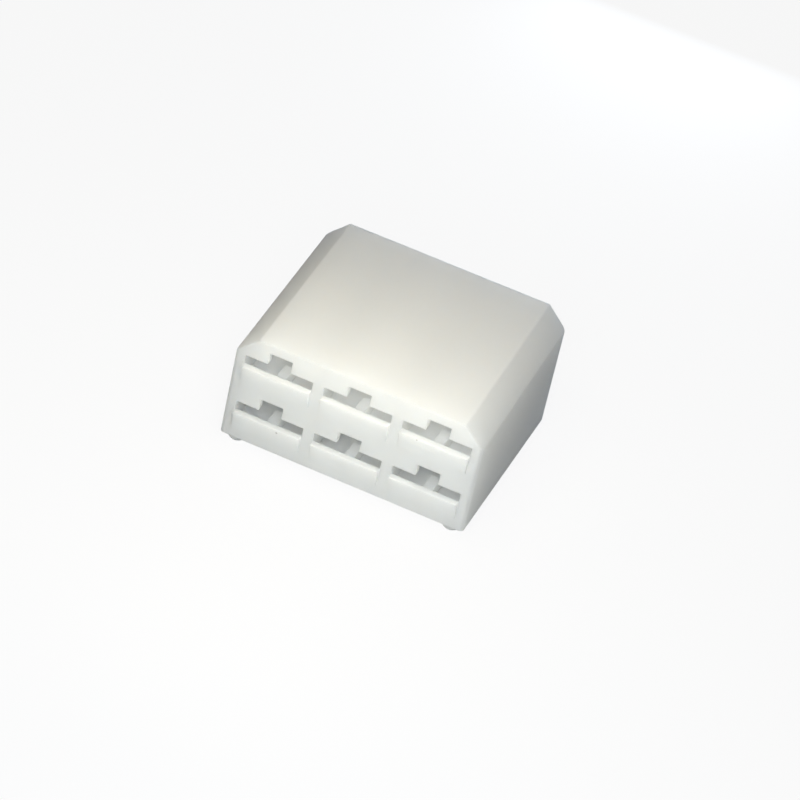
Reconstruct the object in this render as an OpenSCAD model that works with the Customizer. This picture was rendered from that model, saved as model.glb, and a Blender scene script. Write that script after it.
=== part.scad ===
// Wire to board connector housing: one injection moulded block of natural polyamide.
// Two rows of cavities are open at the wire side and meet the board's flat tabs at the
// mating side, through slots with a lead-in lip below each.
// Millimetres. The mating side looks along -Y, the wires leave along +Y, and the four
// feet stand on z = 0.

/* [Circuits] */
// Columns of circuits, side by side
columns = 3; // [1:1:6]
// Rows of circuits, one above the other
rows = 2; // [1:1:3]
// Spacing of the columns
column_pitch = 7.7; // [7.5:0.1:9]
// Spacing of the rows
row_pitch = 5.2; // [5.1:0.1:6.5]

/* [Walls] */
// Depth from the mating face to the wire side
body_d = 19.7; // [15:0.1:30]
// Thickness of the floor under the lowest row
floor_t = 0.9; // [0.7:0.05:1.5]
// Thickness of the roof at the mating face
roof_t = 0.95; // [0.8:0.05:1.5]
// Rise of the roof from the mating face to the wire side
roof_rise = 1.1; // [0:0.1:2]
// Thickness of the two outer side walls
side_t = 0.85; // [0.8:0.05:1.5]
// Width of the 45 degree cut along both long edges of the roof
edge_cut = 2; // [1:0.1:2]
// Radius of the block's four upright edges
corner_r = 0.4; // [0.2:0.05:0.6]
// Thickness of the wall round the tab slots
face_t = 0.8; // [0.6:0.05:1.2]

/* [Cavities] */
// Width of the cavity that holds one crimped terminal
cavity_w = 6.9; // [6.8:0.05:7]
// Height of the cavity
cavity_h = 4.25; // [4.2:0.05:4.4]
// 45 degree cut in the cavity's two upper corners
cavity_cut = 0.9; // [0.8:0.05:1.2]
// Bevel round the cavity's mouth at the wire side
mouth_bevel = 0.25; // [0.1:0.05:0.3]

/* [Tab slots] */
// Width of the slot for a tab 6.35 wide
slot_w = 6.6; // [6.45:0.05:6.7]
// Height of the slot for a tab 0.8 thick
slot_h = 0.9; // [0.85:0.05:1.1]
// Height of the slot's lower edge above the cavity's floor
slot_rise = 2.17; // [1.9:0.01:2.3]
// Width of the notch over the middle of the slot
notch_w = 2.2; // [1.6:0.1:3]

/* [Lead-in lips] */
// How far the lip's upper edge stands out of the mating face
lip_reach = 0.6; // [0.2:0.05:1]
// Thickness of the lip
lip_t = 0.75; // [0.6:0.05:0.8]

/* [Floor ribs] */
// Width of the rib that centres the terminal
rib_w = 1; // [0.6:0.1:1.4]
// Height of the rib above the cavity's floor
rib_h = 1.4; // [0.8:0.1:1.6]
// Distance from the mating face to the end of the rib's level top
rib_d = 3.1; // [2.5:0.1:6]

/* [Feet] */
// Radius of each round foot
foot_r = 0.8; // [0.6:0.05:1.2]
// Height of the feet
foot_h = 0.6; // [0.4:0.05:1.5]
// Bevel round the end of each foot
foot_bevel = 0.2; // [0.1:0.05:0.3]
// Distance from each side of the body to the middle of a foot
foot_side = 1.4; // [1.3:0.1:4]
// Distance from the mating face and from the wire side to the middle of a foot
foot_end = 1; // [1:0.1:4]

/* [Hidden] */

// A little extra length, so that cuts pass right through the faces they open
over = 0.5;

// Overall width, and the body's height at the mating face
body_w = (columns - 1) * column_pitch + cavity_w + 2 * side_t;
body_h = floor_t + (rows - 1) * row_pitch + cavity_h + roof_t;

// Place of the mating face, with the origin under the middle of the whole part
face_y = lip_reach - (body_d + lip_reach) / 2;

// Slope of the roof
roof_slope = atan(roof_rise / body_d);

// How far the end of a rib slopes back down to the floor
rib_slope_d = rib_h;

// Runs a profile drawn in X and Z along +Y, from y = 0
module along_y(length) {
    translate([0, length, 0])
        rotate([90, 0, 0])
            linear_extrude(length)
                children();
}

// Runs a profile drawn in Y and Z along X, centred on x = 0
module along_x(width) {
    translate([-width / 2, 0, 0])
        rotate([90, 0, 90])
            linear_extrude(width)
                children();
}

// Puts its children at the floor of every cavity, on the mating face
module each_circuit() {
    for (row = [0 : rows - 1])
        for (column = [0 : columns - 1])
            translate([
                (column - (columns - 1) / 2) * column_pitch,
                0,
                floor_t + row * row_pitch
            ])
                children();
}

// Solid block with a sloping roof, higher at the wire side
module sloped_block() {
    along_x(body_w)
        polygon([
            [0, 0],
            [body_d, 0],
            [body_d, body_h + roof_rise],
            [0, body_h]
        ]);
}

// Prism that follows the slope of the roof and cuts both of its long edges
module roof_envelope() {
    depth = body_d + 4 * over;
    translate([0, 0, body_h])
        rotate([roof_slope, 0, 0])
            translate([0, -2 * over, 0])
                along_y(depth)
                    polygon([
                        [-body_w / 2, -2 * body_h],
                        [body_w / 2, -2 * body_h],
                        [body_w / 2, -edge_cut],
                        [body_w / 2 - edge_cut, 0],
                        [edge_cut - body_w / 2, 0],
                        [-body_w / 2, -edge_cut]
                    ]);
}

// Post with rounded upright edges, as wide and deep as the block
module rounded_plan() {
    linear_extrude(body_h + roof_rise + over) {
        translate([corner_r - body_w / 2, 0])
            square([body_w - 2 * corner_r, body_d]);
        translate([-body_w / 2, corner_r])
            square([body_w, body_d - 2 * corner_r]);
        for (side = [-1, 1])
            for (y = [corner_r, body_d - corner_r])
                translate([side * (body_w / 2 - corner_r), y])
                    circle(r = corner_r, $fn = 32);
    }
}

// Outline of a cavity, with its floor on z = 0, grown by a margin on every side
module cavity_outline(margin = 0) {
    half_w = cavity_w / 2 + margin;
    top = cavity_h + margin;
    cut = cavity_cut + margin * (2 - sqrt(2));
    polygon([
        [-half_w, -margin],
        [half_w, -margin],
        [half_w, top - cut],
        [half_w - cut, top],
        [cut - half_w, top],
        [-half_w, top - cut]
    ]);
}

// Space for one terminal, from behind the slotted wall out through the wire side
module cavity() {
    translate([0, face_t, 0])
        along_y(body_d - face_t + over)
            cavity_outline();
}

// Bevelled mouth of a cavity, which widens at 45 degrees out to past the wire side
module cavity_mouth() {
    hull()
        for (margin = [0, mouth_bevel + over])
            translate([0, body_d - mouth_bevel + margin, 0])
                along_y(over / 4)
                    cavity_outline(margin);
}

// Opening in the slotted wall: tab slot, notch above it and the lip's place below it
module tab_window() {
    translate([0, -over, 0])
        along_y(face_t + 2 * over)
            polygon([
                [-slot_w / 2, 0],
                [slot_w / 2, 0],
                [slot_w / 2, slot_rise + slot_h],
                [notch_w / 2, slot_rise + slot_h],
                [notch_w / 2, cavity_h],
                [-notch_w / 2, cavity_h],
                [-notch_w / 2, slot_rise + slot_h],
                [-slot_w / 2, slot_rise + slot_h]
            ]);
}

// Thin wall below the slot that leans out of the mating face to lead the tab in
module lip() {
    along_x(slot_w)
        polygon([
            [0, 0],
            [lip_t, 0],
            [lip_t - lip_reach, slot_rise],
            [-lip_reach, slot_rise]
        ]);
}

// Rib on the cavity's floor that the terminal's two rolled sides run along
module floor_rib() {
    along_x(rib_w)
        polygon([
            [lip_t / 2, 0],
            [rib_d + rib_slope_d, 0],
            [rib_d, rib_h],
            [lip_t / 2, rib_h]
        ]);
}

// Round foot that reaches from inside the floor down to its bevelled end
module foot() {
    translate([0, 0, foot_bevel - foot_h])
        cylinder(h = foot_h - foot_bevel + floor_t / 2, r = foot_r, $fn = 48);
    translate([0, 0, -foot_h])
        cylinder(h = foot_bevel, r1 = foot_r - foot_bevel, r2 = foot_r, $fn = 48);
}

module feet() {
    for (side = [-1, 1])
        for (y = [foot_end, body_d - foot_end])
            translate([side * (body_w / 2 - foot_side), y, 0])
                foot();
}

module connector_housing() {
    color("ivory")
        translate([0, face_y, foot_h]) {
            difference() {
                intersection() {
                    sloped_block();
                    roof_envelope();
                    rounded_plan();
                }
                each_circuit() {
                    cavity();
                    cavity_mouth();
                    tab_window();
                }
            }
            each_circuit() {
                lip();
                floor_rib();
            }
            feet();
        }
}

connector_housing();
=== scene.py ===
import math

import bmesh
import bpy
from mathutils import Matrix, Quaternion, Vector


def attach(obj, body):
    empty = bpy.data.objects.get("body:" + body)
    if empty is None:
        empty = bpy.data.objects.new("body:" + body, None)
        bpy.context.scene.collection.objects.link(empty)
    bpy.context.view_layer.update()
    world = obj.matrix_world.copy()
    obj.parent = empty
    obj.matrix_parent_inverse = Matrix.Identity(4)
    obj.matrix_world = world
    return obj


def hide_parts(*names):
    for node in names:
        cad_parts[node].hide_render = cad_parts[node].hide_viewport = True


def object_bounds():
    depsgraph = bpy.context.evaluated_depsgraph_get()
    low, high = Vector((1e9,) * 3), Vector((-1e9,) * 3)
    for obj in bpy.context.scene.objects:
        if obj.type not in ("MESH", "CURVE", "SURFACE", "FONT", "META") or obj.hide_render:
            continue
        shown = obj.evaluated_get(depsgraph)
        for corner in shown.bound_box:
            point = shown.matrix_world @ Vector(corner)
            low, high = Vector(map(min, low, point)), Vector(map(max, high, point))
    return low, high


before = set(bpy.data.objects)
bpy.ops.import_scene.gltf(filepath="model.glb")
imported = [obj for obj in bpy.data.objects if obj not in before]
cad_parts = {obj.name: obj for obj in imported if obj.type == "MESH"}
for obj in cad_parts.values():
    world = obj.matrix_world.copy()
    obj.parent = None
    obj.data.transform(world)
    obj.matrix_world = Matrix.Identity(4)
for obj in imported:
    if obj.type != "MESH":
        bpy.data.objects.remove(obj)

cad_low, cad_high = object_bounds()

MM = 0.001

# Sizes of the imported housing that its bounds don't give, and the faces that follow
FOOT_HEIGHT = 0.6 * MM
LIP_REACH = 0.6 * MM
CORNER_RADIUS = 0.4 * MM
ROOF_CUT = 2.0 * MM
FRONT_HEIGHT = 11.3 * MM
HALF_WIDTH = cad_high.x
FRONT = cad_low.y + LIP_REACH
BACK = cad_high.y
UNDERSIDE = cad_low.z + FOOT_HEIGHT
ROOF_SLOPE = math.atan((cad_high.z - UNDERSIDE - FRONT_HEIGHT) / (BACK - FRONT))

# Radii that the mould leaves on the block's outer edges, on the lips' free edges and
# on the edges round the openings
BLOCK_RADIUS = 0.1 * MM
LIP_RADIUS = 0.08 * MM
WINDOW_RADIUS = 0.06 * MM

# Edges that turn less than this stay as they are
LEAST_TURN = math.radians(25)

# How close two places are when they count as the same
TOUCHING = 0.004 * MM

# Share of the light on a wall that goes through its skin
THROUGH_WALL = 0.5

# Widths of the faint clouds in the milky plastic and of its satin skin's grain
CLOUD_WIDTH = 6 * MM
GRAIN_WIDTH = 0.8 * MM

# Specks of dirt on the lips, each with its place and its width
LIP_SPECKS = [
    ((-6.58 * MM, FRONT - 0.5 * MM, 3.35 * MM), 0.22 * MM),
    ((6.15 * MM, FRONT - 0.55 * MM, 8.78 * MM), 0.16 * MM),
]


# Colours and nodes


def paint(code):
    """An sRGB hex colour as the linear values that a shader takes."""
    parts = [int(code[i:i + 2], 16) / 255 for i in (1, 3, 5)]
    linear = [c / 12.92 if c <= 0.04045 else ((c + 0.055) / 1.055) ** 2.4 for c in parts]
    return (*linear, 1.0)


def add_node(tree, kind, values=None, links=None, **settings):
    """Adds a node, with its settings, the values on its sockets and what feeds them."""
    node = tree.nodes.new(kind)
    for name, value in settings.items():
        setattr(node, name, value)
    for name, value in (values or {}).items():
        node.inputs[name].default_value = value
    for name, source in (links or {}).items():
        tree.links.new(source, node.inputs[name])
    return node


def new_material(name):
    """A material with an empty node tree."""
    material = bpy.data.materials.new(name)
    material.use_nodes = True
    material.node_tree.nodes.clear()
    return material


# The moulded housing


def faces_met(point):
    """How many of the block's outer faces meet at a point."""
    across = abs(point.x)
    along = point.y - FRONT
    up = point.z - UNDERSIDE
    below_roof = (FRONT_HEIGHT - up) * math.cos(ROOF_SLOPE) + along * math.sin(ROOF_SLOPE)
    inside_cut = (below_roof - (ROOF_CUT - (HALF_WIDTH - across))) / math.sqrt(2)
    past_x = across - (HALF_WIDTH - CORNER_RADIUS)
    past_y = max(CORNER_RADIUS - along, point.y - (BACK - CORNER_RADIUS))
    corner = past_x > TOUCHING and past_y > TOUCHING
    distances = [
        math.hypot(past_x, past_y) - CORNER_RADIUS if corner else HALF_WIDTH - across,
        along,
        BACK - point.y,
        up,
        below_roof,
        inside_cut,
    ]
    return sum(abs(distance) < TOUCHING for distance in distances)


def edge_radius(edge):
    """The radius that an edge of the moulding gets; the bevelled feet get none."""
    start, end = (corner.co for corner in edge.verts)
    on_foot = min(start.z, end.z) < UNDERSIDE - TOUCHING
    if on_foot or edge.calc_face_angle(0) < LEAST_TURN:
        return 0
    if faces_met((start + end) / 2) > 1:
        return BLOCK_RADIUS
    on_lip = max(start.y, end.y) < FRONT - LIP_REACH / 6
    if on_lip and edge.is_convex:
        return LIP_RADIUS
    return WINDOW_RADIUS


def mould_housing(node):
    """The housing in one piece, with every moulded edge rounded."""
    mesh = bmesh.new()
    mesh.from_mesh(node.data)
    bmesh.ops.remove_doubles(mesh, verts=mesh.verts, dist=TOUCHING / 4)
    bmesh.ops.dissolve_limit(
        mesh,
        angle_limit=math.radians(0.3),
        verts=mesh.verts,
        edges=mesh.edges,
    )
    weight = mesh.edges.layers.float.new("bevel_weight_edge")
    for edge in mesh.edges:
        edge[weight] = edge_radius(edge) / BLOCK_RADIUS
    for face in mesh.faces:
        face.smooth = True
    shape = bpy.data.meshes.new("moulded_housing")
    mesh.to_mesh(shape)
    mesh.free()
    housing = bpy.data.objects.new("moulded_housing", shape)
    bpy.context.scene.collection.objects.link(housing)
    rounding = housing.modifiers.new("mould_radii", "BEVEL")
    rounding.limit_method = "WEIGHT"
    rounding.width = BLOCK_RADIUS
    rounding.segments = 3
    rounding.use_clamp_overlap = False
    shading = housing.modifiers.new("flat_faces", "WEIGHTED_NORMAL")
    shading.weight = 100
    shading.keep_sharp = True
    return housing


# Finishes


def with_speck(tree, place, tone, spot, width):
    """A tone with one soft-edged, faint speck of grey-brown dirt at a spot."""
    away = add_node(
        tree,
        "ShaderNodeVectorMath",
        values={1: spot},
        links={0: place.outputs["Object"]},
        operation="DISTANCE",
    )
    cover = add_node(
        tree,
        "ShaderNodeMapRange",
        values={
            "From Min": 0.25 * width,
            "From Max": 0.6 * width,
            "To Min": 0.5,
            "To Max": 0.0,
        },
        links={"Value": away.outputs["Value"]},
    )
    dirty = add_node(
        tree,
        "ShaderNodeMix",
        values={7: paint("#8A8378")},
        links={"Factor": cover.outputs["Result"], 6: tone},
        data_type="RGBA",
    )
    return dirty.outputs[2]


def natural_polyamide():
    """Unfilled nylon as moulded. The eye sees a soft, milky body, thin walls that glow with
    the light behind them, and a satin skin with broad, weak highlights."""
    material = new_material("natural_polyamide_moulded")
    tree = material.node_tree
    place = add_node(tree, "ShaderNodeTexCoord")
    cloud = add_node(
        tree,
        "ShaderNodeTexNoise",
        values={"Scale": 1 / CLOUD_WIDTH, "Detail": 3.0, "Roughness": 0.5},
        links={"Vector": place.outputs["Object"]},
    )
    milk = add_node(
        tree,
        "ShaderNodeMix",
        values={6: paint("#FDFDFC"), 7: paint("#FBFBF9")},
        links={"Factor": cloud.outputs["Fac"]},
        data_type="RGBA",
    )
    tone = milk.outputs[2]
    for spot, width in LIP_SPECKS:
        tone = with_speck(tree, place, tone, spot, width)
    skin = add_node(
        tree,
        "ShaderNodeTexNoise",
        values={"Scale": 1 / GRAIN_WIDTH, "Detail": 2.0},
        links={"Vector": place.outputs["Object"]},
    )
    satin = add_node(
        tree,
        "ShaderNodeMapRange",
        values={"To Min": 0.38, "To Max": 0.5},
        links={"Value": skin.outputs["Fac"]},
    )
    body = add_node(
        tree,
        "ShaderNodeBsdfPrincipled",
        values={
            "Subsurface Weight": 1.0,
            "Subsurface Radius": (1.0, 0.95, 0.9),
            "Subsurface Scale": 1.0 * MM,
            "IOR": 1.53,
        },
        links={"Base Color": tone, "Roughness": satin.outputs["Result"]},
    )
    through = add_node(tree, "ShaderNodeBsdfTranslucent", links={"Color": tone})
    milky = add_node(
        tree,
        "ShaderNodeMixShader",
        values={0: THROUGH_WALL},
        links={1: body.outputs[0], 2: through.outputs[0]},
    )
    add_node(tree, "ShaderNodeOutputMaterial", links={"Surface": milky.outputs[0]})
    return material


# Stage, light and camera


def seen_directly(tree):
    """1 for what the camera sees, also in a mirror or through glass, and 0 for lighting."""
    path = add_node(tree, "ShaderNodeLightPath")
    mirrored = add_node(
        tree,
        "ShaderNodeMath",
        links={0: path.outputs["Is Glossy Ray"], 1: path.outputs["Is Transmission Ray"]},
        operation="MAXIMUM",
    )
    clear = add_node(
        tree,
        "ShaderNodeMath",
        links={0: mirrored.outputs[0], 1: path.outputs["Is Diffuse Ray"]},
        operation="SUBTRACT",
    )
    return add_node(
        tree,
        "ShaderNodeMath",
        links={0: path.outputs["Is Camera Ray"], 1: clear.outputs[0]},
        operation="MAXIMUM",
    )


def pale_floor():
    """A pale table top that reads white and keeps the soft shadow."""
    shape = bpy.data.meshes.new("table_top")
    reach = 1500 * MM
    corners = [(-reach, -reach, 0), (reach, -reach, 0), (reach, reach, 0), (-reach, reach, 0)]
    shape.from_pydata(corners, [], [(0, 1, 2, 3)])
    floor = bpy.data.objects.new("table_top", shape)
    bpy.context.scene.collection.objects.link(floor)
    own_white = 0.92
    material = new_material("pale_table_top")
    tree = material.node_tree
    seen = seen_directly(tree)
    glow = add_node(
        tree,
        "ShaderNodeEmission",
        values={"Strength": 1.0, "Color": paint("#FFFFFF")},
    )
    matt = add_node(tree, "ShaderNodeBsdfDiffuse", values={"Color": paint("#D8D8D8")})
    share = add_node(
        tree,
        "ShaderNodeMath",
        values={1: own_white},
        links={0: seen.outputs[0]},
        operation="MULTIPLY",
    )
    both = add_node(
        tree,
        "ShaderNodeMixShader",
        links={0: share.outputs[0], 1: matt.outputs[0], 2: glow.outputs[0]},
    )
    add_node(tree, "ShaderNodeOutputMaterial", links={"Surface": both.outputs[0]})
    shape.materials.append(material)
    return floor


def soft_surround():
    """An even, dim room that reads white where the camera sees it."""
    world = bpy.data.worlds.new("soft_surround")
    world.use_nodes = True
    tree = world.node_tree
    tree.nodes.clear()
    seen = seen_directly(tree)
    room = add_node(
        tree,
        "ShaderNodeBackground",
        values={"Color": paint("#DDE6F2"), "Strength": 0.02},
    )
    white = add_node(
        tree,
        "ShaderNodeBackground",
        values={"Color": paint("#FFFFFF"), "Strength": 1.0},
    )
    both = add_node(
        tree,
        "ShaderNodeMixShader",
        links={0: seen.outputs[0], 1: room.outputs[0], 2: white.outputs[0]},
    )
    add_node(tree, "ShaderNodeOutputWorld", links={"Surface": both.outputs[0]})
    bpy.context.scene.world = world


def direction(azimuth, elevation):
    """The way out to a lamp or camera; azimuth 0 is in front of the mating face."""
    a = math.radians(azimuth)
    e = math.radians(elevation)
    return Vector((math.sin(a) * math.cos(e), -math.cos(a) * math.cos(e), math.sin(e)))


def softbox(name, azimuth, elevation, distance, size, watts, colour, aim=(0, 0, 6.5)):
    """A square soft lamp that faces a point, which is given in millimetres."""
    lamp = bpy.data.lights.new(name, "AREA")
    lamp.shape = "SQUARE"
    lamp.size = size
    lamp.energy = watts
    lamp.color = paint(colour)[:3]
    holder = bpy.data.objects.new(name, lamp)
    bpy.context.scene.collection.objects.link(holder)
    towards = direction(azimuth, elevation)
    holder.location = Vector(aim) * MM + towards * distance
    holder.rotation_mode = "QUATERNION"
    holder.rotation_quaternion = (-towards).to_track_quat("-Z", "Y")
    return holder


def studio_camera():
    """A long lens above the mating face, a little to the right and tilted."""
    lens = bpy.data.cameras.new("studio_camera")
    lens.sensor_width = 36
    lens.lens = 194.27
    lens.clip_start = 0.01
    lens.clip_end = 10
    camera = bpy.data.objects.new("studio_camera", lens)
    bpy.context.scene.collection.objects.link(camera)
    middle = (cad_low + cad_high) / 2
    aim = middle + Vector((1.33, -0.89, -1.58)) * MM
    back = direction(15.22, 37.29)
    distance = 388.08 * MM
    camera.location = aim + back * distance
    camera.rotation_mode = "QUATERNION"
    roll = Quaternion((0, 0, 1), math.radians(13.09))
    camera.rotation_quaternion = (-back).to_track_quat("-Z", "Y") @ roll
    bpy.context.scene.camera = camera
    return camera


# The part

housing = mould_housing(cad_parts["connector_housing"])
housing.data.materials.append(natural_polyamide())
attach(housing, "root")
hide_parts("connector_housing")

# The scene

pale_floor()
soft_surround()
softbox(
    "key",
    azimuth=15,
    elevation=37,
    distance=100 * MM,
    size=40 * MM,
    watts=0.0721,
    colour="#F0F7FF",
)
softbox(
    "roof",
    azimuth=0,
    elevation=90,
    distance=40 * MM,
    size=20 * MM,
    watts=0.0092,
    colour="#FFF3D8",
    aim=(0, -14, 8),
)
softbox(
    "face",
    azimuth=0,
    elevation=30,
    distance=35 * MM,
    size=15 * MM,
    watts=0.0037,
    colour="#FFFDE4",
    aim=(0, -9, 8),
)
softbox(
    "wire_side",
    azimuth=180,
    elevation=8,
    distance=80 * MM,
    size=30 * MM,
    watts=0.0218,
    colour="#D9EAFF",
)
studio_camera()
bpy.context.scene.view_settings.view_transform = "Standard"
